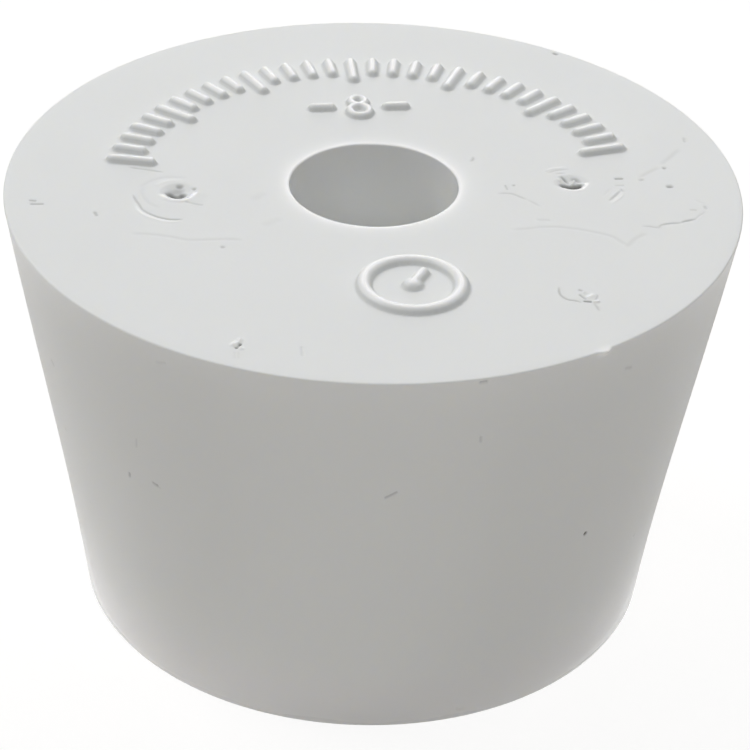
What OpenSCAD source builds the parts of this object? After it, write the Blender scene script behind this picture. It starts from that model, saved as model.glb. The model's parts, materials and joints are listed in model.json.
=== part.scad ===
// Tapered rubber stopper with one straight bore, moulded in one piece.
// It stands on its small end: the bottom face is on the XY plane and the bore runs along Z.
// The ribs, the bars and the two gate pits are symmetric about the Y axis. The pits lie just in front
// of the X axis, on the -Y side.

/* [Stopper] */
// Diameter of the wide top end
top_d = 41; // [38:0.5:46]
// Diameter of the small bottom end
bottom_d = 33; // [28:0.5:37]
// Length from the bottom face to the top face
length = 25.2; // [20:0.2:32]
// Radius of the moulded edge round each end
rim_r = 0.1; // [0.05:0.05:0.6]

/* [Bore] */
// Diameter of the bore, which grips a glass tube or an airlock stem
bore_d = 9.4; // [6:0.1:11]
// Radius of the edge at each mouth of the bore
mouth_r = 0.1; // [0.05:0.05:0.5]

/* [Raised marks] */
// Height of every raised mark above the top face
relief = 0.35; // [0.15:0.05:0.35]
// Width of the ribs and bars
rib_w = 0.7; // [0.7:0.05:0.8]
// Radius on the top face where the long ribs start
scale_inner_r = 12.3; // [11.9:0.1:12.6]
// Radius on the top face where all ribs end
scale_outer_r = 15.2; // [14.9:0.1:16.5]
// How much shorter the plain ribs are than the long ones
short_by = 0.8; // [0:0.1:1.2]
// Angle from the middle of the first rib to the middle of the last
scale_angle = 153; // [120:1:156]
// Steps from the first rib to the last
scale_steps = 30; // [10:5:30]
// Steps from one long rib to the next
long_every = 5; // [1:1:10]

/* [Size mark] */
// Distance of the size mark's place from the bore's axis
size_mark_y = 9.1; // [8:0.1:9.8]
// Width left free between its two bars, where the size numeral stands
size_gap_w = 2.6; // [2:0.1:4]
// Length of each of its two bars
bar_l = 1.7; // [1:0.1:2.5]

/* [Dial] */
// Distance of the dial's centre from the bore's axis
dial_r = 11.1; // [10:0.1:13.5]
// Angle of the dial's centre from the Y axis, towards +X
dial_turn = 5; // [-30:1:30]
// Diameter of the dial over its ring
dial_d = 6; // [5.8:0.1:7]
// Width of the ring's round section
ring_w = 0.85; // [0.7:0.05:1]
// Length of the pointer from the hub's centre
pointer_l = 1.75; // [1:0.05:1.8]
// Direction of the pointer, turned from the X axis
pointer_angle = 60; // [0:5:355]
// Diameter of the hub's dome
hub_d = 1.15; // [0.8:0.05:1.4]

/* [Gate pits] */
// Distance of each gate pit from the Y axis
gate_x = 11.1; // [8:0.1:14]
// How far the gate pits lie in front of the X axis
gate_front = 0.6; // [0:0.1:1.5]
// Diameter of a gate pit at the top face
gate_d = 1; // [0.5:0.05:1.4]
// Depth of a gate pit
gate_depth = 0.25; // [0.1:0.05:0.25]

/* [Hidden] */
$fa = 2;
$fs = 0.1;

bore_r = bore_d / 2;
rubber_white = [0.86, 0.865, 0.855];

// Angle of the side wall from the vertical: the stopper widens towards the top
taper = atan((top_d - bottom_d) / 2 / length);

// Radius of the circle whose segment has this width and this height
function segment_r(w, h) = (w * w / 4 + h * h) / (2 * h);

// How far a rim circle's centre lies inside the side wall, measured along the end face:
// less where the face and the wall meet at a blunt angle (bottom), more at the sharp one (top)
bottom_inset = rim_r * tan((90 - taper) / 2);
top_inset = rim_r * tan((90 + taper) / 2);

// Centres of the four edge circles in the section, as [radius, height]
bottom_rim = [bottom_d / 2 - bottom_inset, rim_r];
top_rim = [top_d / 2 - top_inset, length - rim_r];
bottom_mouth = [bore_r + mouth_r, mouth_r];
top_mouth = [bore_r + mouth_r, length - mouth_r];

// Point where a rim circle touches the side wall
function on_wall(centre) = centre + rim_r * [cos(taper), -sin(taper)];

// Half section of the ring of rubber round the bore: straight walls, with a round edge at each corner
module section() {
    polygon([
        [bore_r, bottom_mouth.y],
        [bottom_mouth.x, 0],
        [bottom_rim.x, 0],
        on_wall(bottom_rim),
        on_wall(top_rim),
        [top_rim.x, length],
        [top_mouth.x, length],
        [bore_r, top_mouth.y]
    ]);
    for (centre = [bottom_rim, top_rim]) translate(centre) circle(rim_r);
    for (centre = [bottom_mouth, top_mouth]) translate(centre) circle(mouth_r);
}

// Ridge along X with a round back, as a ball-nosed cutter leaves it: its foot is on the XY plane
module ridge(l, w, h) {
    r = segment_r(w, h);
    half_run = (l - w) / 2;
    translate([0, 0, h - r]) rotate([0, 90, 0]) {
        cylinder(r = r, h = 2 * half_run, center = true);
        for (side = [-1, 1]) translate([0, 0, side * half_run]) sphere(r);
    }
}

// One rib of the arc: all ribs end at the same radius, and the long ones start further in
module rib(step) {
    inner = scale_inner_r + (step % long_every == 0 ? 0 : short_by);
    turn = scale_angle * (0.5 - step / scale_steps) + 90;
    rotate(turn) translate([(inner + scale_outer_r) / 2, 0]) ridge(scale_outer_r - inner, rib_w, relief);
}

module scale_arc() {
    for (step = [0:scale_steps]) rib(step);
}

// Two short bars, one each side of the numeral's place
module size_bars() {
    for (side = [-1, 1])
        translate([side * (size_gap_w + bar_l) / 2, size_mark_y]) ridge(bar_l, rib_w, relief);
}

// Plain round dial: a ring, a pointer and a hub
module dial() {
    ring_section_r = segment_r(ring_w, relief);
    hub_section_r = segment_r(hub_d, relief);
    rotate(dial_turn) translate([0, -dial_r]) rotate(-dial_turn) {
        translate([0, 0, relief - ring_section_r])
            rotate_extrude() translate([(dial_d - ring_w) / 2, 0]) circle(ring_section_r);
        rotate(pointer_angle) translate([pointer_l / 2, 0]) ridge(pointer_l, rib_w, relief);
        translate([0, 0, relief - hub_section_r]) sphere(hub_section_r);
    }
}

// Round hollow left in the top face where each gate broke away
module gate_pits() {
    pit_r = segment_r(gate_d, gate_depth);
    for (side = [-1, 1])
        translate([side * gate_x, -gate_front, length - gate_depth + pit_r]) sphere(pit_r);
}

module stopper() {
    color(rubber_white) difference() {
        union() {
            rotate_extrude() section();
            translate([0, 0, length]) {
                scale_arc();
                size_bars();
                dial();
            }
        }
        gate_pits();
    }
}

stopper();
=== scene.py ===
# %% [markdown]
# # A white rubber stopper
#
# The real object is one moulding: a tapered plug of white rubber with one straight hole down its
# axis, standing on its small end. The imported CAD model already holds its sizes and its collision
# shape, so this script makes what the eye looks for: soft feet under the raised marks, the faint
# lines that the flowing rubber left behind, and a satin finish. Everything is in metres and in
# the CAD model's own frame, so no piece has to be moved afterwards.

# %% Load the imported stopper
import json
import math

import bmesh
import bpy
import numpy as np
from mathutils import Matrix, Vector


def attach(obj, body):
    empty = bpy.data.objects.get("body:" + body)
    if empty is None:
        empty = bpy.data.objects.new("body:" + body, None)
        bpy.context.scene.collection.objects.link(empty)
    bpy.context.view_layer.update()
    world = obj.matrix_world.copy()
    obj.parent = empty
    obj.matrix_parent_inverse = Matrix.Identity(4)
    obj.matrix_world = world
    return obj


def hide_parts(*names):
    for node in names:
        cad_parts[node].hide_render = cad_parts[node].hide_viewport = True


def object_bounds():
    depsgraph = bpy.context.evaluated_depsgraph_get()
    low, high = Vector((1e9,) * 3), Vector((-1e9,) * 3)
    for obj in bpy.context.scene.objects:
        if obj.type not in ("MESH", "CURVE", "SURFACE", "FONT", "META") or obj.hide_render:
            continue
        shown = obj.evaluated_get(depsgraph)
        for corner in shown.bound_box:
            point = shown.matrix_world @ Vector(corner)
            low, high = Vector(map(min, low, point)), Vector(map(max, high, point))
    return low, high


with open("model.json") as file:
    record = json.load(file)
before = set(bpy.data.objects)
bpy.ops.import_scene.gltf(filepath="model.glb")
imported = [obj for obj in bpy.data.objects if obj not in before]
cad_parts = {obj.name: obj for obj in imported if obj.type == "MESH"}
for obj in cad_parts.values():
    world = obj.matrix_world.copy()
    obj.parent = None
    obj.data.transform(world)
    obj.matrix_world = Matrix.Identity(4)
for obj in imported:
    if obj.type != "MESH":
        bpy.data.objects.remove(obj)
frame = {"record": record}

MM = 0.001
cad_low, cad_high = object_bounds()
print("CAD box in mm:", [round(v / MM, 2) for v in (*cad_low, *cad_high)])

# %% [markdown]
# ## Sizes
#
# The bore is a stated mount, so its radius and its length are read from the record. The wall of
# the bore stops short of both faces by the round edge at each mouth, which gives the height of
# the wide end's face. What the CAD box has above that face is the height of the raised marks.
# Two places that are closer together than TOUCHING count as one, and what stands further out than
# WALL_FROM, between the two faces, is the side wall.

# %% Sizes of the plug
bore = next(mount for mount in frame["record"]["mounts"] if mount["name"] == "bore")
BORE_RADIUS = bore["dims"]["r_mm"] * MM
MOUTH_EDGE = 0.1 * MM
TOP = bore["dims"]["length_mm"] * MM + 2 * MOUTH_EDGE
TOP_RADIUS = 20.5 * MM
BOTTOM_RADIUS = 16.5 * MM
RIM_EDGE = 0.1 * MM
RELIEF = cad_high.z - TOP
TOUCHING = 0.01 * MM
WALL_FROM = BOTTOM_RADIUS - 1 * MM
print(f"face at {TOP / MM:.2f} mm, marks {RELIEF / MM:.2f} mm high")
print(f"bore {2 * BORE_RADIUS / MM:.2f} mm wide")

# %% [markdown]
# ## The plain plug
#
# A stopper is a turned form, so its section is drawn once, as four corners and four edges on one
# side of the axis, and spun round. A lathe would do the same. Spinning with use_merge closes the
# last slice onto the first, and the normals are turned outwards once the doubles are gone.

# %% Spin the half section
SLICES = 300
WELD = 0.001 * MM


def spun_plug():
    """The plug with sharp corners, as a bmesh."""
    solid = bmesh.new()
    outline = (
        (BORE_RADIUS, 0.0),
        (BOTTOM_RADIUS, 0.0),
        (TOP_RADIUS, TOP),
        (BORE_RADIUS, TOP),
    )
    corners = [solid.verts.new((radius, 0.0, height)) for radius, height in outline]
    for this, following in zip(corners, corners[1:] + corners[:1]):
        solid.edges.new((this, following))
    bmesh.ops.spin(
        solid,
        geom=solid.verts[:] + solid.edges[:],
        cent=(0, 0, 0),
        axis=(0, 0, 1),
        angle=2 * math.pi,
        steps=SLICES,
        use_merge=True,
    )
    bmesh.ops.remove_doubles(solid, verts=solid.verts[:], dist=WELD)
    bmesh.ops.recalc_face_normals(solid, faces=solid.faces[:])
    return solid


plug = spun_plug()
print("spun:", len(plug.verts), "vertices,", len(plug.faces), "faces")

# %% [markdown]
# ## Round the edges
#
# Moulded rubber has no knife edges. Each of the four circles gets a bevel whose arc touches both
# faces. Where the faces meet at a blunt or a sharp angle the arc starts nearer to or further from
# the corner, so the offset follows from the angle between them.

# %% Bevel the rims and the mouths
TAPER = math.atan((TOP_RADIUS - BOTTOM_RADIUS) / TOP)
ARC_SEGMENTS = 5


def circle_edges(solid, radius, height):
    """The edges that lie along one circle of the plug."""
    found = []
    for edge in solid.edges:
        ends = [(math.hypot(v.co.x, v.co.y), v.co.z) for v in edge.verts]
        if all(math.dist(end, (radius, height)) < TOUCHING for end in ends):
            found.append(edge)
    return found


def round_corner(solid, radius, height, edge_radius, corner_angle):
    """Bevels one circle with an arc of that radius."""
    bmesh.ops.bevel(
        solid,
        geom=circle_edges(solid, radius, height),
        offset=edge_radius / math.tan(corner_angle / 2),
        offset_type="OFFSET",
        affect="EDGES",
        segments=ARC_SEGMENTS,
        profile=0.5,
        material=-1,
    )


round_corner(plug, TOP_RADIUS, TOP, RIM_EDGE, math.pi / 2 - TAPER)
round_corner(plug, BOTTOM_RADIUS, 0.0, RIM_EDGE, math.pi / 2 + TAPER)
round_corner(plug, BORE_RADIUS, TOP, MOUTH_EDGE, math.pi / 2)
round_corner(plug, BORE_RADIUS, 0.0, MOUTH_EDGE, math.pi / 2)
print("with round edges:", len(plug.faces), "faces")

# %% [markdown]
# ## Rings across the faces
#
# The spin leaves each face as long slivers that run from edge to edge. Cutting the long sides
# turns them into a grid of small cells, which can bend: the side wall later draws in a little,
# and the wide end carries the marks.

# %% Cut the long cells into rings
LONG_EDGE = 2 * MM
FACE_RINGS = 56
WALL_RINGS = 20
BORE_RINGS = 24
FOOT_RINGS = 3


def long_edges(solid, inside):
    """Edges of the slivers: inside says whether a middle point, as radius and height, counts."""
    found = []
    for edge in solid.edges:
        middle = (edge.verts[0].co + edge.verts[1].co) / 2
        if edge.calc_length() > LONG_EDGE and inside(math.hypot(middle.x, middle.y), middle.z):
            found.append(edge)
    return found


def cut_rings(solid, inside, rings):
    """Cuts the slivers of one face crosswise into that many rings."""
    edges = long_edges(solid, inside)
    bmesh.ops.subdivide_edges(solid, edges=edges, cuts=rings - 1)


cut_rings(plug, lambda radius, height: height > TOP - TOUCHING, FACE_RINGS)
cut_rings(plug, lambda radius, height: height < TOUCHING, FOOT_RINGS)
cut_rings(plug, lambda radius, height: radius < BORE_RADIUS + TOUCHING, BORE_RINGS)
cut_rings(plug, lambda radius, height: radius > BOTTOM_RADIUS and 0 < height < TOP, WALL_RINGS)
print("with rings:", len(plug.faces), "faces")

# %% [markdown]
# ## The side draws in
#
# Rubber shrinks as it cures, and a thick wall shrinks most in its middle. So the taper isn't quite
# straight: two thirds of the way down it lies a hair inside the line from rim to rim. It is too
# small to measure with a ruler, but it is what softens the outline.

# %% Hollow the side wall
HOLLOW = 0.15 * MM
HOLLOW_SKEW = 1.87
HOLLOW_END = 0.02


def hollow_side(solid):
    """Moves the wall's vertices inwards, most at about two thirds of the way down."""
    moved = 0
    for vertex in solid.verts:
        radius = math.hypot(vertex.co.x, vertex.co.y)
        depth = 1 - vertex.co.z / TOP
        if radius < WALL_FROM or not HOLLOW_END < depth < 1 - HOLLOW_END:
            continue
        inward = HOLLOW * math.sin(math.pi * depth**HOLLOW_SKEW)
        vertex.co.x *= 1 - inward / radius
        vertex.co.y *= 1 - inward / radius
        moved += 1
    return moved


print("wall vertices drawn in:", hollow_side(plug))

# %% [markdown]
# ## Strokes
#
# Every mark on the wide end follows a path: the raised ones were cut into the mould with a small
# round cutter, and the faint ones are lines where the rubber flowed or tore. So each is described
# the same way, by a path along its middle, a width, a height (negative for a groove) and a
# softness. One function gives the distance from any point to a path, and everything else follows
# from that distance. Plan positions are in millimetres.


# %% A stroke and its distance
ROUND_BACK, FADING = 0.5, 2.0
NEARBY, FAR = 1.0, 9.0
ARC_STEP = 10


class Stroke:
    """A line of the relief.

    Its softness says how it meets the plain face beside it. Its tone runs from one, the dark
    colour of dirt and painted shade, to minus one, a pale painted highlight. Its fade is the length
    over which it dies away at both ends.
    """

    def __init__(self, path, width, height, softness=ROUND_BACK, dirt_and_painted_light=0.0, fade=0.0):
        self.path = np.array(path, dtype=float)
        self.width = width
        self.height = height
        self.softness = softness
        self.dirt_and_painted_light = dirt_and_painted_light
        self.fade = fade

    def measure(self, points):
        """Distance to the path and to its nearer end, for each point that isn't far off."""
        low, high = self.path.min(axis=0) - NEARBY, self.path.max(axis=0) + NEARBY
        close = np.all((points > low) & (points < high), axis=1)
        spots = points[close]
        runs = np.diff(self.path, axis=0)
        lengths = np.hypot(*runs.T)
        nearest, travelled, before = np.hypot(*(spots - self.path[0]).T), np.zeros(len(spots)), 0.0
        for start, run, length in zip(self.path, runs, lengths):
            along = np.clip((spots - start) @ run / length**2, 0, 1)
            gap = np.hypot(*(spots - start - along[:, None] * run).T)
            travelled = np.where(gap < nearest, before + along * length, travelled)
            nearest = np.minimum(nearest, gap)
            before += length
        distance, inside = np.full(len(points), FAR), np.zeros(len(points))
        distance[close] = nearest
        inside[close] = np.minimum(travelled, before - travelled)
        return distance, inside

    def reach(self, points):
        """Distance from each point to the path."""
        return self.measure(points)[0]

    def share(self, points):
        """One along the path, falling to nought at the stroke's edges."""
        distance, inside = self.measure(points)
        across = np.clip(distance / (self.width / 2), 0, 1)
        ends = np.clip(inside / self.fade, 0, 1) if self.fade else np.ones(len(points))
        return (1 - across**2) ** self.softness * ends * (2 - ends)


def polar(radius, degrees, centre=(0.0, 0.0)):
    """A point at that radius and angle from the centre."""
    angle = math.radians(degrees)
    return (centre[0] + radius * math.cos(angle), centre[1] + radius * math.sin(angle))


def arc(centre, radius, start, end, stretch=1.0):
    """Points about ARC_STEP degrees apart; stretch makes a loop taller than it is wide."""
    count = max(2, round(abs(end - start) / ARC_STEP) + 1)
    points = [polar(radius, angle) for angle in np.linspace(start, end, count)]
    return [(centre[0] + x, centre[1] + y * stretch) for x, y in points]


def flowing(points, steps=4):
    """A smooth path through a few points, with that many short runs between each two."""
    ends = np.array([points[0], *points, points[-1]], dtype=float)
    path = []
    for a, b, c, d in zip(ends, ends[1:], ends[2:], ends[3:]):
        for t in np.linspace(0, 1, steps, endpoint=False):
            slope, curve, twist = c - a, 2 * a - 5 * b + 4 * c - d, 3 * b - a - 3 * c + d
            bend = 2 * b + slope * t + curve * t**2 + twist * t**3
            path.append(bend / 2)
    return [*path, ends[-1]]


print("a bend through three points:", np.round(flowing([(0, 0), (1, 0), (1, 1)], 2), 2).tolist())

# %% [markdown]
# ## Raised marks
#
# An arc of plain ribs runs round the back of the wide end like the graduations of a scale, every
# fifth one longer. Below it stands the numeral of the stopper's size between two bars, and in
# front of the bore a plain round dial with a pointer. Their places and widths repeat the CAD
# model's, and only the numeral is new, because lettering is left to this script.

# %% The raised marks as strokes
RIB_WIDTH = 0.7
HEIGHT = RELIEF / MM
SCALE_START, SCALE_END = 12.3, 15.2
SCALE_ANGLE, SCALE_STEPS, LONG_EVERY = 153, 30, 5
SHORT_BY = 0.8
SIZE_MARK_Y = 9.1
SIZE_GAP, BAR_LENGTH = 2.6, 1.7
LOOPS = ((0.62, 0.42), (-0.52, 0.56))
LOOP_WIDTH, LOOP_LOWER, LOOP_STRETCH = 0.55, 0.9, 1.1
DIAL_CENTRE = polar(11.1, 5 - 90)
DIAL_WIDTH, RING_WIDTH = 6.0, 0.85
POINTER_LENGTH, POINTER_ANGLE, HUB_WIDTH = 1.75, 60, 1.15


def ribs():
    """The arc of ribs: each path stops half a width short of the ends, which are round."""
    made = []
    for step in range(SCALE_STEPS + 1):
        angle = 90 + SCALE_ANGLE * (0.5 - step / SCALE_STEPS)
        start = SCALE_START + (0 if step % LONG_EVERY == 0 else SHORT_BY) + RIB_WIDTH / 2
        end = SCALE_END - RIB_WIDTH / 2
        made.append(Stroke([polar(start, angle), polar(end, angle)], RIB_WIDTH, HEIGHT))
    return made


def size_mark():
    """Two bars and, between them, an 8 of two loops, each with its rise and its radius."""
    made = []
    for side in (-1, 1):
        inner = side * (SIZE_GAP + RIB_WIDTH) / 2
        outer = side * (SIZE_GAP / 2 + BAR_LENGTH - RIB_WIDTH / 2)
        made.append(Stroke([(inner, SIZE_MARK_Y), (outer, SIZE_MARK_Y)], RIB_WIDTH, HEIGHT))
    for rise, radius in LOOPS:
        loop = arc((0, SIZE_MARK_Y + rise), radius, 0, 360, LOOP_STRETCH)
        made.append(Stroke(loop, LOOP_WIDTH, HEIGHT * LOOP_LOWER))
    return made


def dial():
    """A ring, a pointer and the dome of its hub."""
    ring = arc(DIAL_CENTRE, (DIAL_WIDTH - RING_WIDTH) / 2, 0, 360)
    tip = polar(POINTER_LENGTH - RIB_WIDTH / 2, POINTER_ANGLE, DIAL_CENTRE)
    return [
        Stroke(ring, RING_WIDTH, HEIGHT),
        Stroke([DIAL_CENTRE, tip], RIB_WIDTH, HEIGHT),
        Stroke([DIAL_CENTRE], HUB_WIDTH, HEIGHT),
    ]


raised_marks = ribs() + size_mark() + dial()
print("raised marks:", len(raised_marks))

# %% [markdown]
# ## Gate pits
#
# Rubber is squeezed into the mould through two gates. When the sprues are pulled off, each leaves
# a shallow dish with a torn pit in it. Round the pits the stream folds into rings. The far slope
# of a dish faces away from the light behind the stopper and looks dark, and the near slope, which
# faces it, looks bright, so a dish a quarter of a millimetre deep is plain to see.


# %% The two gates as strokes
END_FADE = 0.5


def crease(path, width, height, dirt_and_painted_light=0.0):
    """A faint line that fades out on both sides, and at its ends where it is long."""
    if len(path) < 3:
        return Stroke(path, width, height, FADING, dirt_and_painted_light)
    return Stroke(flowing(path), width, height, FADING, dirt_and_painted_light, END_FADE)


def left_gate():
    """A pit in a dish, a speck beside it, and rings like those of a tree."""
    fold = [(-13.4, -0.5), (-13.25, -1.15), (-13.09, -1.63), (-12.94, -2.16), (-12.66, -2.6)]
    fold += [(-12.33, -2.93), (-11.91, -3.22), (-11.5, -3.4), (-11.07, -3.45), (-10.74, -3.45)]
    inner = [(-12.75, 0.3), (-12.88, -0.18), (-12.85, -0.68), (-12.66, -1.3), (-12.37, -1.75)]
    inner += [(-11.96, -2.12)]
    outer = [(-13.04, 0.21), (-12.77, 0.52), (-12.37, 0.89), (-11.84, 1.19), (-11.3, 1.31)]
    outer += [(-10.3, 1.19)]
    lip = [(-11.8, -0.5), (-11.67, -0.82), (-11.4, -1.12), (-11.05, -1.28), (-10.7, -1.27)]
    lip += [(-10.35, -1.1), (-10.12, -0.78), (-9.9, -0.4)]
    slit = [(-11.34, -0.4), (-11.14, -0.52), (-10.88, -0.54), (-10.66, -0.42)]
    # Strokes whose tone is below nought have lips painted pale, a painted highlight; the slit and
    # creases above nought are painted darker, part dirt and part painted shade.
    return [
        Stroke([(-10.88, -0.42)], 2.3, -0.27, FADING),
        Stroke(slit, 0.48, -0.22, ROUND_BACK, 0.62),
        crease([(-11.15, -0.22), (-10.8, -0.05)], 0.8, -0.05, 0.32),
        crease([(-10.86, 0.34), (-10.7, 0.32)], 0.42, -0.08, 0.4),
        crease(lip, 0.68, 0.08, -1.0),
        crease(lip[1:-2], 0.4, 0.02, -0.8),
        crease([(-9.99, -0.05)], 0.36, -0.1, 0.3),
        crease(fold, 0.24, -0.05, 0.27),
        crease([(x * 1.012, y - 0.24) for x, y in fold[2:]], 0.3, 0.02, -0.7),
        crease(outer, 0.4, -0.018, 0.05),
        crease(inner, 0.4, -0.02, 0.055),
        crease([(-12.2, 0.35), (-11.7, 0.75), (-11.1, 0.9), (-10.5, 0.85)], 0.4, 0.025, -0.4),
        crease([(-10.0, -1.9), (-9.6, -1.0)], 1.0, -0.02, 0.03),
        crease([(-10.5, -1.55), (-9.7, -1.9)], 0.3, -0.03, 0.1),
    ]


def right_gate():
    """Two torn slits with a bridge between them, in a dish with ripples behind it."""
    lip = [(10.45, -0.7), (10.75, -1.02), (11.1, -1.14), (11.5, -1.08), (11.8, -0.75)]
    lip += [(11.86, -0.3)]
    ripple = [(9.85, 0.7), (10.07, 0.9), (10.41, 1.06), (10.85, 1.15), (11.15, 1.2)]
    # Strokes whose tone is below nought have lips painted pale, a painted highlight; the slits and
    # creases above nought are painted darker, part dirt and part painted shade.
    return [
        Stroke([(11.08, -0.44)], 2.2, -0.26, FADING),
        Stroke([(10.66, -0.5), (11.45, -0.49)], 0.52, -0.34, ROUND_BACK, 1.25),
        crease([(10.5, 0.45), (10.7, 0.24), (10.97, -0.16)], 0.26, -0.1, 0.5),
        crease([(11.05, 0.14), (11.36, 0.15), (11.67, -0.22)], 0.28, -0.12, 0.28),
        crease([(11.15, -0.22), (11.25, 0.0)], 0.28, 0.12, -0.4),
        crease([(10.28, 0.16), (10.5, 0.0), (10.75, -0.16)], 0.36, 0.1, -1.0),
        crease(lip, 0.62, 0.08, -1.0),
        crease(ripple, 0.26, -0.025, 0.1),
        crease([(9.8, 1.0), (10.14, 1.27), (10.51, 1.34), (11.0, 1.45)], 0.26, 0.025, -0.6),
        crease([(10.27, 0.58), (10.57, 0.71), (10.93, 0.72)], 0.26, -0.028, 0.12),
        crease([(13.62, -0.02), (13.98, -0.02)], 0.24, -0.07, 0.38),
        crease([(13.5, -0.8), (13.9, -0.82)], 0.22, -0.025, 0.12),
        crease([(13.74, -1.3), (13.76, -1.44)], 0.24, -0.04, 0.06),
        crease([(13.66, -1.45), (13.53, -1.62), (13.25, -2.0), (12.84, -2.55)], 0.24, -0.06, 0.14),
        crease([(13.8, -1.7), (13.46, -2.26), (12.92, -2.8)], 0.24, 0.03, -0.5),
        crease([(13.2, -1.0), (12.95, -1.5), (12.6, -1.9)], 0.24, -0.03),
    ]


gates = left_gate() + right_gate()
print("strokes round the gates:", len(gates), "deepest:", min(stroke.height for stroke in gates))

# %% [markdown]
# ## Flow lines, specks and the print of a fibre
#
# Further out the streams of rubber leave creases where they met, one of them open enough to hold
# dirt. Pin holes and nicks are scattered over the face, and near the front the print of a curled
# fibre shows. None is deeper than a sheet of paper is thick. The deepest are painted darker, part
# dirt and part painted shade, so a stroke can carry a dark tone as well.


# %% Creases, specks and the curl as strokes
def creases():
    """Faint lines where two streams of rubber met."""
    left = [(-13.65, -4.9), (-12.9, -4.93), (-12.23, -5.09), (-11.5, -5.32), (-10.74, -5.66)]
    left += [(-10.08, -5.73), (-9.41, -5.73), (-8.4, -5.73), (-7.65, -5.86)]
    right = [(6.9, -5.5), (7.45, -5.4), (8.16, -5.33), (8.73, -5.23), (9.65, -5.3)]
    right += [(10.7, -5.6), (11.74, -6.07), (12.38, -6.49), (12.69, -6.97), (13.06, -7.5)]
    crack = [(14.1, -5.38), (14.53, -5.43), (14.86, -5.55), (15.05, -5.58), (15.3, -5.3)]
    crack += [(15.85, -5.15), (16.4, -5.14), (16.59, -4.98), (17.02, -4.84), (17.32, -4.74)]
    fork = [(17.1, -4.8), (17.32, -4.74), (17.49, -4.47), (17.79, -4.16), (17.97, -3.9)]
    near_bore = [(6.68, -1.44), (7.05, -1.38), (7.52, -1.46), (7.88, -1.77), (8.3, -2.2)]
    return [
        crease(left, 0.46, -0.02, 0.065),
        crease(right, 0.42, -0.018, 0.065),
        crease([(12.9, -7.7), (13.4, -6.92), (13.78, -6.56), (14.3, -6.15)], 0.42, -0.025, 0.085),
        crease(crack[:7], 0.24, -0.022, 0.18),
        crease(crack[4:], 0.24, -0.03, 0.05),
        crease(crack[6:], 0.24, -0.03, 0.29),
        crease(fork, 0.22, -0.03, 0.08),
        crease([(18.07, -3.6), (18.05, -3.4)], 0.3, -0.03, 0.2),
        crease([(18.1, -3.1), (17.7, -2.75)], 0.26, -0.015, 0.03),
        crease([(17.9, 3.3), (17.25, 2.44), (16.78, 1.87), (16.4, 1.45)], 0.46, -0.025, 0.085),
        crease([(16.35, 1.17), (15.89, 0.82), (15.41, 0.42), (14.9, 0.0)], 0.42, -0.025, 0.09),
        crease(near_bore, 0.28, -0.025, 0.17),
        crease([(8.23, -2.11), (8.6, -2.55), (8.89, -3.02)], 0.3, -0.02, 0.08),
        crease([(5.95, 2.95), (5.9, 2.6), (5.65, 2.3)], 0.26, -0.05, 0.28),
        crease([(-13.6, 2.55), (-12.6, 2.25), (-11.6, 1.85)], 0.26, -0.05, 0.1),
        crease([(-5.3, -16.8), (-5.3, -17.5)], 0.3, -0.04, 0.06),
        crease([(-8.72, -17.1), (-8.75, -17.6)], 0.2, -0.02, 0.05),
        crease([(-8.53, -17.1), (-8.56, -17.6)], 0.2, -0.02, 0.05),
        crease([(8.6, -4.45), (9.1, -4.5)], 0.4, -0.02, 0.07),
        crease([(-6.7, -1.3), (-6.3, -0.9)], 0.9, -0.01, 0.05),
        crease([(-6.3, -4.2), (-5.7, -3.8)], 0.9, -0.01, 0.04),
    ]


def specks():
    """Pin holes and nicks scattered over the face."""
    return [
        crease([(16.44, -1.05), (16.6, -1.05)], 0.38, -0.1, 0.5),
        crease([(16.6, 1.1)], 0.34, -0.1, 0.45),
        crease([(14.98, -0.25), (15.1, -0.2)], 0.32, -0.06, 0.2),
        crease([(18.4, 4.55), (18.37, 4.2)], 0.34, -0.05, 0.15),
        crease([(7.77, -0.51)], 0.3, -0.05, 0.24),
        crease([(7.35, -0.95), (7.3, -0.5)], 0.2, -0.03, 0.22),
        crease([(-8.78, -6.54)], 0.42, -0.05, 0.26),
        crease([(-15.5, -2.45), (-15.42, -2.75)], 0.28, -0.06, 0.3),
        crease([(-19.0, -0.95), (-18.75, -1.0)], 0.28, -0.05, 0.32),
        crease([(-18.95, -1.36), (-18.35, -1.38)], 0.26, -0.05, 0.3),
        crease([(-8.6, -16.65), (-8.39, -16.31)], 0.2, -0.08, 0.4),
        crease([(-8.6, -16.63)], 0.3, -0.06, 0.5),
        crease([(-8.39, -16.31)], 0.26, -0.1, 0.8),
        # These three raised specks are painted pale, as painted highlights on their lips.
        crease([(-8.76, -16.36), (-8.6, -16.18)], 0.44, 0.1, -1.0),
        crease([(-8.37, -15.98), (-8.36, -15.84)], 0.34, 0.1, -1.0),
        crease([(-8.39, -16.72)], 0.36, 0.1, -1.0),
        crease([(12.5, 15.72), (12.62, 15.6)], 0.34, -0.08, 0.5),
        crease([(17.2, -3.72), (17.45, -3.76)], 0.26, -0.02, 0.16),
    ]


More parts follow.
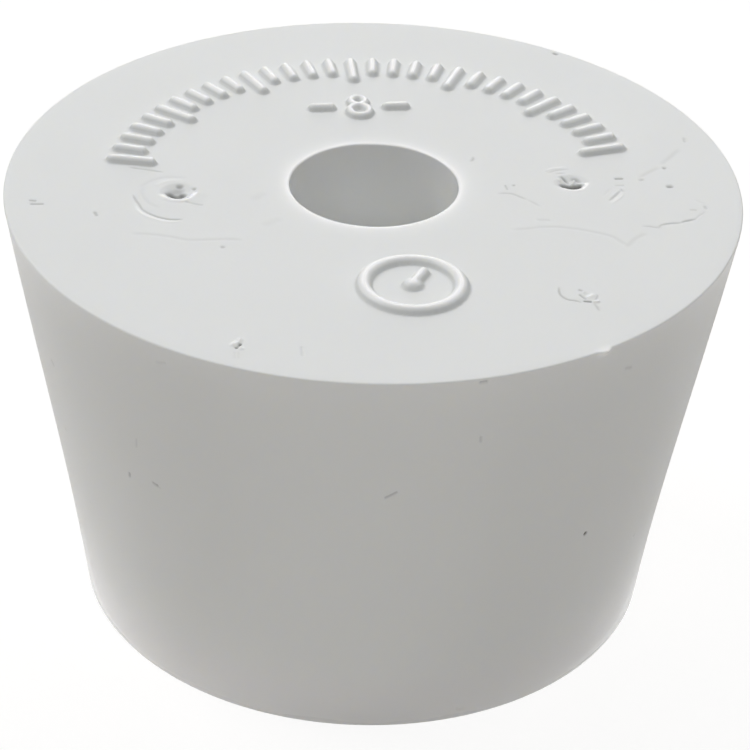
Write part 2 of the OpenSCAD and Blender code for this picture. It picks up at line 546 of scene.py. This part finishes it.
def curl():
    """The print of a loose fibre: a slack line, small nicks with painted highlights on their lips,
    and a tail.
    """
    slack = [(8.68, -11.5), (8.61, -12.04), (8.68, -12.45), (8.94, -12.82), (9.34, -12.97)]
    slack += [(9.67, -13.21)]
    hook = [(10.5, -12.35), (10.57, -12.55), (10.41, -12.89), (10.2, -13.0)]
    return [
        crease(slack, 0.22, -0.04, 0.34),
        crease([(9.7, -11.9), (9.82, -12.0)], 0.26, -0.04, 0.3),
        crease([(9.66, -12.4), (9.87, -12.8)], 0.22, -0.05, 0.34),
        crease([(9.8, -13.04), (10.11, -13.1)], 0.24, -0.06, 0.7),
        crease(hook, 0.22, -0.03, 0.28),
        crease([(10.23, -13.3), (10.36, -13.64), (10.42, -14.1)], 0.24, -0.04, 0.24),
        # These raised lips are painted pale, as painted highlights.
        crease([(9.95, -12.75), (10.2, -12.55), (10.44, -12.38)], 0.36, 0.08, -1.0),
        crease([(9.9, -12.15)], 0.4, 0.09, -1.0),
        crease([(10.28, -13.14), (10.5, -13.12)], 0.3, 0.08, -1.0),
    ]


faint_marks = gates + creases() + specks() + curl()
print("faint marks:", len(faint_marks))

# %% [markdown]
# ## Finer cells where the marks are
#
# A mark less than a millimetre wide needs cells of about a fifteenth of a millimetre, and a hair
# line needs them twice as fine, but a grid that fine over the whole face would be wasteful. So
# only the cells near a stroke are split, and the ones closest to it are split again.

# %% Split the cells near the strokes
LEVEL = 0.999
HAIR_WIDTH = 0.31
FIRST_MARGIN, SECOND_MARGIN, HAIR_MARGIN = 0.25, 0.08, 0.0


def clearance(points, strokes):
    """Distance from each point to the edge of the nearest stroke."""
    return np.min([stroke.reach(points) - stroke.width / 2 for stroke in strokes], axis=0)


def on_face(face):
    """Whether a cell belongs to the wide end's flat face."""
    return face.normal.z > LEVEL and face.calc_center_median().z > TOP - TOUCHING


def plan(place):
    """Where a place lies on the wide end, in millimetres."""
    return (place.x / MM, place.y / MM)


def split_cells(solid, cells):
    """Splits some cells in four, and their neighbours to match."""
    edges = {edge for face in cells for edge in face.edges}
    bmesh.ops.subdivide_edges(solid, edges=list(edges), cuts=1, use_grid_fill=True)


def split_near(solid, belongs, flat, strokes, margin):
    """Splits each cell of one face whose middle, laid flat, is within the margin of a stroke."""
    cells = [face for face in solid.faces if belongs(face)]
    middles = np.array([flat(face.calc_center_median()) for face in cells])
    near = clearance(middles, strokes) < margin
    split_cells(solid, [face for face, close in zip(cells, near) if close])
    return int(near.sum())


all_marks = raised_marks + faint_marks
hair_lines = [stroke for stroke in faint_marks if stroke.width < HAIR_WIDTH]
passes = ((all_marks, FIRST_MARGIN), (all_marks, SECOND_MARGIN), (hair_lines, HAIR_MARGIN))
for strokes, margin in passes:
    count = split_near(plug, on_face, plan, strokes, margin)
    print("cells split:", count, "now", len(plug.faces))

# %% [markdown]
# ## Raise the marks
#
# Now each vertex of the face moves up or down by what the strokes say. Raised marks that cross
# take the higher of the two, as two cuts in a mould would, and the faint ones add up. One pass of
# smoothing, along Z alone, gives the marks the soft foot that rubber always has.
#
# A layer of its own keeps a tone, which the material reads later. Painted shade darkens the corner
# where a mark meets the face and its flanks, and a painted highlight pales the back of each mark.


# %% Lift the vertices
# Painted highlight on the backs of the raised marks, and painted shade at their feet.
BACK_PAINTED_HIGHLIGHT, BACK_SHARPNESS = 1.0, 8
FOOT_PAINTED_SHADE = 0.13
SHADE_INSIDE_MARK, SHADE_OUTSIDE_MARK = 0.22, 0.06
# The layer holds a tone for each vertex: above nought dirt and painted shade, below nought painted
# highlight and painted glow.
dirt_and_painted_light_layer = plug.verts.layers.float.new("dirt_and_painted_light")


def vertices_within(solid, belongs):
    """Vertices whose faces all belong to one face of the plug."""
    return [v for v in solid.verts if v.link_faces and all(belongs(face) for face in v.link_faces)]


def foot_shade_and_back_highlight(points):
    """Painted shade at the foot of the raised marks, and a painted highlight along their backs."""
    gap = clearance(points, raised_marks)
    foot = np.exp(-((gap / np.where(gap < 0, SHADE_INSIDE_MARK, SHADE_OUTSIDE_MARK)) ** 2))
    back = np.max([stroke.share(points) for stroke in raised_marks], axis=0)
    return FOOT_PAINTED_SHADE * foot - BACK_PAINTED_HIGHLIGHT * back**BACK_SHARPNESS


def raise_marks(solid):
    """Moves the face's vertices by the height of the marks and smooths their feet."""
    vertices = vertices_within(solid, on_face)
    points = np.array([plan(vertex.co) for vertex in vertices])
    high = np.max([stroke.height * stroke.share(points) for stroke in raised_marks], axis=0)
    faint_shares = [(stroke, stroke.share(points)) for stroke in faint_marks]
    faint = sum(stroke.height * share for stroke, share in faint_shares)
    dirt_and_painted_light_tone = foot_shade_and_back_highlight(points) + sum(stroke.dirt_and_painted_light * share for stroke, share in faint_shares)
    lift = (high + faint) * MM
    for vertex, rise, amount in zip(vertices, lift, dirt_and_painted_light_tone):
        vertex.co.z += rise
        vertex[dirt_and_painted_light_layer] = max(-1.0, min(amount, 1.0))
    touched = [vertex for vertex, rise in zip(vertices, high) if rise > 0]
    near = {other for vertex in touched for edge in vertex.link_edges for other in edge.verts}
    around = [vertex for vertex in vertices if vertex in near]
    bmesh.ops.smooth_vert(solid, verts=around, factor=0.5, use_axis_z=True)
    return lift.min() / MM, lift.max() / MM


print("lowest and highest in mm:", raise_marks(plug))

# %% [markdown]
# ## Painted light on the edges
#
# The colour is painted paler round the mouth of the bore and just under the rim, a painted glow
# for light that seeps through white rubber where it is thin. The whole bore is painted paler, as
# painted light inside it, and so is the narrow end towards the bottom, as painted light where the
# floor's shade falls.

# %% Paint light on the edges and in the bore
BORE_PAINTED_LIGHT = 1.0
MOUTH_PAINTED_LIGHT, MOUTH_REACH, MOUTH_DEPTH = 1.0, 0.35 * MM, 1.05 * MM
RIM_PAINTED_LIGHT, RIM_REACH = 0.35, 1.3 * MM
FOOT_PAINTED_LIGHT, FOOT_REACH = 1.0, 4 * MM
SKIN = 0.2 * MM
BELOW_FACE = 0.05 * MM


def painted_edge_light(place):
    """Painted light on a place: most in the bore, at its mouth, under the rim and at the foot."""
    depth, gap = TOP - place.z, math.hypot(place.x, place.y) - BORE_RADIUS
    side = BOTTOM_RADIUS + (TOP_RADIUS - BOTTOM_RADIUS) * place.z / TOP - BORE_RADIUS
    if depth > BELOW_FACE and gap > side - SKIN:
        foot = FOOT_PAINTED_LIGHT * math.exp(-place.z / FOOT_REACH)
        return RIM_PAINTED_LIGHT * math.exp(-depth / RIM_REACH) + foot
    mouth = MOUTH_PAINTED_LIGHT * math.exp(-max(gap, 0) / MOUTH_REACH - depth / MOUTH_DEPTH)
    return max(mouth, BORE_PAINTED_LIGHT) if gap < SKIN else mouth


def paint_light_on_edges(solid):
    """Takes each vertex's painted light off its tone, which paints it paler."""
    for vertex in solid.verts:
        vertex[dirt_and_painted_light_layer] -= painted_edge_light(vertex.co)
    return min(vertex[dirt_and_painted_light_layer] for vertex in solid.verts)


print("palest:", round(paint_light_on_edges(plug), 2))

# %% [markdown]
# ## Specks on the side
#
# The side has only a few pin holes and short nicks. They are strokes too, on the wall rolled out
# flat: the first number is the distance round the wall from the middle of its front, and the
# second the height. The wall's cells are large, so they are split more often here.

# %% Dent the side
ROLL_RADIUS = 18.5
UPRIGHT = 0.3
WALL_MARGINS = (0.75, 0.4, 0.2, 0.08)


def rolled_out(place):
    """Where a place lies on the side wall laid flat, in millimetres."""
    return (ROLL_RADIUS * math.atan2(place.x, -place.y), place.z / MM)


def on_wall(face):
    """Whether a cell belongs to the plain side wall."""
    middle = face.calc_center_median()
    return math.hypot(middle.x, middle.y) > WALL_FROM and abs(face.normal.z) < UPRIGHT


# Each pin hole and nick is painted darker too, part dirt and part painted shade.
wall_marks = [
    crease([(11.35, 11.53)], 0.4, -0.12, 1.0),
    crease([(11.35, 11.53)], 0.3, -0.05, 0.8),
    crease([(-15.71, 14.75), (-15.75, 14.52)], 0.28, -0.06, 0.35),
    crease([(-12.36, 24.01), (-11.98, 24.18)], 0.3, -0.06, 0.2),
    crease([(-1.0, 17.4), (-0.48, 17.77)], 0.24, -0.06, 0.32),
    crease([(-13.92, 15.0), (-13.68, 14.94)], 0.3, -0.05, 0.3),
    crease([(-13.68, 14.94), (-13.46, 14.84)], 0.22, -0.03, 0.15),
    crease([(4.25, 0.72), (4.6, 0.68)], 0.26, -0.05, 0.2),
    crease([(3.48, 21.2), (3.51, 20.9)], 0.3, -0.05, 0.18),
    crease([(11.3, 23.22), (11.6, 23.1)], 0.4, -0.05, 0.24),
    crease([(-14.62, 17.74), (-14.72, 17.13)], 0.22, -0.03, 0.1),
    crease([(3.1, 24.98), (3.38, 24.98)], 0.26, -0.08, 0.6),
    crease([(-21.06, 9.33)], 0.3, -0.04, 0.1),
    crease([(-22.7, 13.6)], 0.4, -0.04, 0.15),
    crease([(-22.1, 18.7), (-21.9, 18.5)], 0.3, -0.04, 0.14),
    crease([(17.21, 8.08)], 0.3, -0.04, 0.1),
]
for margin in WALL_MARGINS:
    count = split_near(plug, on_wall, rolled_out, wall_marks, margin)
    print("wall cells split:", count, "now", len(plug.faces))


def dent_wall(solid):
    """Moves the wall's vertices in by the depth of its marks."""
    vertices = vertices_within(solid, on_wall)
    points = np.array([rolled_out(vertex.co) for vertex in vertices])
    shares = [(stroke, stroke.share(points)) for stroke in wall_marks]
    depth = sum(stroke.height * share for stroke, share in shares) * MM
    dirt_and_painted_light_tone = sum(stroke.dirt_and_painted_light * share for stroke, share in shares)
    for vertex, rise, amount in zip(vertices, depth, dirt_and_painted_light_tone):
        if rise:
            outward = Vector((vertex.co.x, vertex.co.y, 0)).normalized()
            vertex.co += outward * rise
            vertex[dirt_and_painted_light_layer] += amount
    return int(np.count_nonzero(depth))


print("wall vertices dented:", dent_wall(plug))

# %% [markdown]
# ## A tab of flash
#
# The mould parts at the rim, and where it didn't quite shut a thin tab of rubber was left. It
# grows slowly along the rim, stops short, and its tip curls up a little. Like the other thin
# edges it is painted paler, a painted glow.

# %% Pull out the tab
TAB_ANGLES = (-62.4, -60.4, -59.0)
TAB_REACH = 0.34 * MM
TAB_CURL = 0.07 * MM
TAB_THICKNESS = 0.5 * MM
TAB_SPLITS = (1.6 * MM, 1.2 * MM, 0.9 * MM)


def tab_share(place):
    """One at the tab's tip, falling to nought at its ends, down the wall and in from the rim."""
    start, tip, end = TAB_ANGLES
    angle = math.degrees(math.atan2(place.y, place.x))
    if not start < angle < end:
        return 0.0
    along = (angle - start) / (tip - start) if angle < tip else (end - angle) / (end - tip)
    down = 1 - (TOP - place.z) / TAB_THICKNESS
    inward = 1 - (TOP_RADIUS - math.hypot(place.x, place.y)) / TAB_THICKNESS
    return along**2 * (3 - 2 * along) * max(0, down) ** 2 * max(0, min(1, inward)) ** 2


def pull_tab(solid):
    """Splits the cells round the tab three times, then moves their vertices out and up and paints
    them paler as painted light.
    """
    middle = Vector((*polar(TOP_RADIUS, TAB_ANGLES[1]), TOP))
    for reach in TAB_SPLITS:
        gaps = [(face, (face.calc_center_median() - middle).length) for face in solid.faces]
        split_cells(solid, [face for face, gap in gaps if gap < reach])
    moved = 0
    for vertex in solid.verts:
        share = tab_share(vertex.co)
        if share:
            outward = Vector((vertex.co.x, vertex.co.y, 0)).normalized()
            vertex.co += outward * TAB_REACH * share + Vector((0, 0, TAB_CURL * share))
            # The tab is painted paler: painted light.
            vertex[dirt_and_painted_light_layer] -= share
            moved += 1
    return moved


print("vertices pulled out:", pull_tab(plug), "faces:", len(plug.faces))

# %% [markdown]
# ## The finished piece
#
# The bmesh becomes a mesh object at the origin, shaded smooth. It rides on the row's only body
# and stands in for the CAD node, which is hidden.


# %% Make the object
def finish_piece(solid, name):
    """Turns the bmesh into a smooth-shaded object."""
    mesh = bpy.data.meshes.new(name)
    solid.normal_update()
    solid.to_mesh(mesh)
    solid.free()
    mesh.shade_smooth()
    piece = bpy.data.objects.new(name, mesh)
    bpy.context.scene.collection.objects.link(piece)
    return piece


stopper = finish_piece(plug, "stopper_rubber")
triangles = sum(len(face.vertices) - 2 for face in stopper.data.polygons)
print("triangles:", triangles)
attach(stopper, "root")
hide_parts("stopper")


# %% [markdown]
# ## Shader maths as plain expressions
#
# A material is a graph of nodes, and wiring its sums by hand hides what they mean. The small class
# below wraps a socket, so that an expression such as 1 - mask * 0.2 adds the Math nodes itself.
# Any other kind of node comes from one method of the builder.


# %% The socket wrapper and the node builder
class Value:
    """One output of a material, which can be added, subtracted and multiplied."""

    def __init__(self, builder, socket):
        self.builder = builder
        self.socket = socket

    def combine(self, operation, first, second):
        """What a Math node makes of two values or numbers."""
        node = self.builder.node("ShaderNodeMath", {"operation": operation}, {0: first, 1: second})
        return node.out("Value")

    def __add__(self, other):
        return self.combine("ADD", self, other)

    __radd__ = __add__

    def __mul__(self, other):
        return self.combine("MULTIPLY", self, other)

    __rmul__ = __mul__

    def __sub__(self, other):
        return self.combine("SUBTRACT", self, other)

    def __rsub__(self, other):
        return self.combine("SUBTRACT", other, self)


class Node:
    """A node that hands out its outputs as values."""

    def __init__(self, builder, node):
        self.builder = builder
        self.node = node

    def out(self, name):
        """The output of that name."""
        return Value(self.builder, self.node.outputs[name])


class Builder:
    """Adds nodes to one material or world."""

    def __init__(self, owner):
        owner.use_nodes = True
        self.tree = owner.node_tree
        self.tree.nodes.clear()

    def node(self, kind, settings=None, inputs=None):
        """A node of that type: its settings are set first, then its sockets are set or linked."""
        made = self.tree.nodes.new(kind)
        for name, setting in (settings or {}).items():
            setattr(made, name, setting)
        for name, given in (inputs or {}).items():
            if isinstance(given, Value):
                self.tree.links.new(given.socket, made.inputs[name])
            else:
                made.inputs[name].default_value = given
        return Node(self, made)


print("shader helpers ready")

# %% [markdown]
# ## White rubber
#
# White stopper rubber is opaque, slightly grey and satin: it has a soft sheen but shows no
# reflection with an edge. Three things keep it from looking like paint. Its tone drifts a little
# over a few millimetres, its skin has a fine grain from the mould, and the places painted pale, as
# painted highlight and painted glow, get a glossy coat, so they catch the light behind the stopper.
# The dark colour paints dirt and painted shade.

# %% The rubber material
RUBBER_WHITE = (0.871, 0.886, 0.88, 1)
RUBBER_SHADE = (0.859, 0.874, 0.866, 1)
# A pale colour painted on as painted light: highlights on crests and lips, a glow at edges and in
# the bore.
PAINTED_HIGHLIGHT_COLOUR = (0.968, 0.98, 0.961, 1)
# A dark colour for dirt and for painted shade in grooves and at the feet of the marks.
DIRT_AND_SHADE_COLOUR = (0.12, 0.115, 0.105, 1)
DRIFT_NOISE = {"Scale": 180.0, "Detail": 3.0}
WAVE_NOISE = {"Scale": 420.0, "Detail": 2.0}
GRAIN_NOISE = {"Scale": 3500.0, "Detail": 2.0}
GRAIN_SHARE = 0.25
BUMP_HEIGHT, BUMP_STRENGTH = 0.02 * MM, 0.6
SATIN, SATIN_DRIFT, SMOOTHER_WHERE_PAINTED_LIGHT = 0.47, 0.06, 0.24
POLISH, POLISH_ROUGHNESS = 1.0, 0.19
LIGHT_SEEPS_IN = (0.1 * MM, 0.096 * MM, 0.085 * MM)


def noise(make, place, kind):
    """Cloudy values between nought and one; a larger scale makes the clouds smaller."""
    return make.node("ShaderNodeTexNoise", {}, {"Vector": place, **kind}).out("Fac")


def blended(make, share, first, second):
    """The first colour, and more of the second one as the share grows."""
    inputs = {"Factor": share, "A": first, "B": second}
    return make.node("ShaderNodeMix", {"data_type": "RGBA"}, inputs).out("Result")


def rubber():
    """Satin white rubber with a drifting tone and a fine moulded grain."""
    material = bpy.data.materials.new("satin_rubber")
    make = Builder(material)
    place = make.node("ShaderNodeTexCoord").out("Object")
    drift = noise(make, place, DRIFT_NOISE)
    waves = noise(make, place, WAVE_NOISE)
    grain = noise(make, place, GRAIN_NOISE)
    dirt_and_painted_light_tone = make.node("ShaderNodeAttribute", {"attribute_name": "dirt_and_painted_light"}).out("Fac")
    # The mask of painted light: painted highlights, and a painted glow at edges and in the bore.
    painted_light_mask = make.node("ShaderNodeClamp", {}, {"Value": 0 - dirt_and_painted_light_tone}).out("Result")
    plain = blended(make, drift, RUBBER_WHITE, RUBBER_SHADE)
    # Dirt and painted shade darken the rubber.
    darkened = blended(make, dirt_and_painted_light_tone, plain, DIRT_AND_SHADE_COLOUR)
    relief = grain * GRAIN_SHARE + waves
    skin = {"Height": relief, "Distance": BUMP_HEIGHT, "Strength": BUMP_STRENGTH}
    surface = make.node(
        "ShaderNodeBsdfPrincipled",
        {},
        {
            "Base Color": blended(make, painted_light_mask, darkened, PAINTED_HIGHLIGHT_COLOUR),
            "Roughness": SATIN + SATIN_DRIFT * drift - SMOOTHER_WHERE_PAINTED_LIGHT * painted_light_mask,
            "Coat Weight": POLISH * painted_light_mask,
            "Coat Roughness": POLISH_ROUGHNESS,
            "Normal": make.node("ShaderNodeBump", {}, skin).out("Normal"),
            "Subsurface Weight": 1.0,
            "Subsurface Radius": LIGHT_SEEPS_IN,
            "Subsurface Scale": 1.0,
        },
    )
    make.node("ShaderNodeOutputMaterial", {}, {"Surface": surface.out("BSDF")})
    return material


stopper.data.materials.append(rubber())
print("material:", stopper.data.materials[0].name)

# %% [markdown]
# ## Floor and surroundings
#
# The stopper stands on a plain white sweep. To the camera the sweep is white, with only a trace of
# shadow, and to the light it is ordinary white card that throws light back up at the sides.

# %% Floor and world
FLOOR_SIZE = 0.8
CARD = (0.94, 0.908, 0.87, 1)
SHADOW_SHARE = 0.2
WHITE_GLOW = 1.1
WORLD_MIRRORED = 0.8
WORLD_LIGHT = 0.016


def shows_white(make):
    """One for rays from the camera and for mirror and clear rays, nought for light that spreads."""
    path = make.node("ShaderNodeLightPath")
    camera, glossy = path.out("Is Camera Ray"), path.out("Is Glossy Ray")
    return camera + glossy + path.out("Is Transmission Ray")


def floor():
    """A square of white card under the stopper."""
    sheet = bmesh.new()
    bmesh.ops.create_grid(sheet, x_segments=1, y_segments=1, size=FLOOR_SIZE / 2)
    mesh = bpy.data.meshes.new("floor")
    sheet.to_mesh(mesh)
    sheet.free()
    made = bpy.data.objects.new("floor", mesh)
    bpy.context.scene.collection.objects.link(made)
    material = bpy.data.materials.new("white_card")
    make = Builder(material)
    card = make.node("ShaderNodeBsdfDiffuse", {}, {"Color": CARD}).out("BSDF")
    white = make.node("ShaderNodeEmission", {}, {"Strength": WHITE_GLOW}).out("Emission")
    share = shows_white(make) * (1 - SHADOW_SHARE)
    mixed = make.node("ShaderNodeMixShader", {}, {0: share, 1: card, 2: white}).out("Shader")
    make.node("ShaderNodeOutputMaterial", {}, {"Surface": mixed})
    mesh.materials.append(material)
    return made


def surroundings():
    """White to the eye, a little less white in a reflection, and nearly dark as a light."""
    world = bpy.data.worlds.new("tent")
    make = Builder(world)
    path = make.node("ShaderNodeLightPath")
    mirrored = path.out("Is Glossy Ray") + path.out("Is Transmission Ray")
    strength = path.out("Is Camera Ray") * (1 - WORLD_LIGHT) + WORLD_LIGHT
    strength = mirrored * (WORLD_MIRRORED - WORLD_LIGHT) + strength
    white = {"Color": (1, 1, 1, 1), "Strength": strength}
    background = make.node("ShaderNodeBackground", {}, white).out("Background")
    make.node("ShaderNodeOutputWorld", {}, {"Surface": background})
    return world


floor()
bpy.context.scene.world = surroundings()
print("floor and world made")

# %% [markdown]
# ## Lights
#
# Six large soft lamps stand round the stopper, as in a photo studio, and the strongest of them
# are behind it. Each raised mark then has a bright far shoulder and a near one in shade, with no
# hard shadow. The low one behind skims the face and picks out crests and lips. The one above the
# camera fills the front and reaches down the bore, and a weak low one helps it at the mouth.
# They stand far off, so the near and the far side of the stopper get the same light.

# %% Lights
CAMERA_BEARING = -6.6
LAMP_DISTANCE = 3.2
LAMP_SIZE = 2.0
LAMPS = {
    "left_back": (243, 45, 46.3),
    "right_back": (120, 45, 22.4),
    "back": (180, 48, 17.9),
    "low_back": (181, 14, 14.0),
    "front": (0, 43, 19.9),
    "low_front": (0, 18, 3.6),
}


def soft_light(name, bearing, elevation, distance, size, power):
    """An area light that faces the stopper, placed by its bearing from the camera's own side."""
    lamp = bpy.data.lights.new(name, "AREA")
    lamp.shape = "SQUARE"
    lamp.size = size
    lamp.energy = power
    made = bpy.data.objects.new(name, lamp)
    turn = math.radians(bearing + CAMERA_BEARING)
    lift = math.radians(elevation)
    level = math.cos(lift)
    away = Vector((math.sin(turn) * level, -math.cos(turn) * level, math.sin(lift)))
    facing = away.to_track_quat("Z", "Y").to_matrix().to_4x4()
    made.matrix_world = Matrix.Translation(away * distance) @ facing
    made.visible_camera = False
    bpy.context.scene.collection.objects.link(made)
    return made


for name, (bearing, elevation, power) in LAMPS.items():
    soft_light(name, bearing, elevation, LAMP_DISTANCE, LAMP_SIZE, power)

# %% [markdown]
# ## Camera
#
# The camera looks at the middle of the stopper from a hand's length away, a third of a right angle
# above the bench, and leans over by two degrees. At that distance the near rim looks clearly
# larger than the far one. The focal length and the picture's width are both in pixels, and the
# lens follows from them and from the width of the sensor in millimetres.

# %% Camera
CAMERA_AIM = Vector((0.41, -0.05, 12.58)) * MM
CAMERA_DISTANCE = 168.61 * MM
CAMERA_ELEVATION = 32.73
CAMERA_LEAN = 1.92
CAMERA_NEAR = 10 * MM
PICTURE_WIDTH, FOCAL_LENGTH = 750, 2907.5
SENSOR = 36.0
LENS = SENSOR * FOCAL_LENGTH / PICTURE_WIDTH


def portrait_camera():
    """A camera placed by what it looks at, its distance and its angles."""
    data = bpy.data.cameras.new("camera")
    data.sensor_width = SENSOR
    data.lens = LENS
    data.clip_start = CAMERA_NEAR
    made = bpy.data.objects.new("camera", data)
    bearing = Matrix.Rotation(math.radians(CAMERA_BEARING), 4, "Z")
    tilt = Matrix.Rotation(math.radians(90 - CAMERA_ELEVATION), 4, "X")
    lean = Matrix.Rotation(math.radians(CAMERA_LEAN), 4, "Z")
    back_off = Matrix.Translation((0, 0, CAMERA_DISTANCE))
    made.matrix_world = Matrix.Translation(CAMERA_AIM) @ bearing @ tilt @ lean @ back_off
    bpy.context.scene.collection.objects.link(made)
    return made


bpy.context.scene.camera = portrait_camera()
bpy.context.scene.view_settings.view_transform = "Standard"
print("camera at", [round(v / MM, 1) for v in bpy.context.scene.camera.matrix_world.translation])
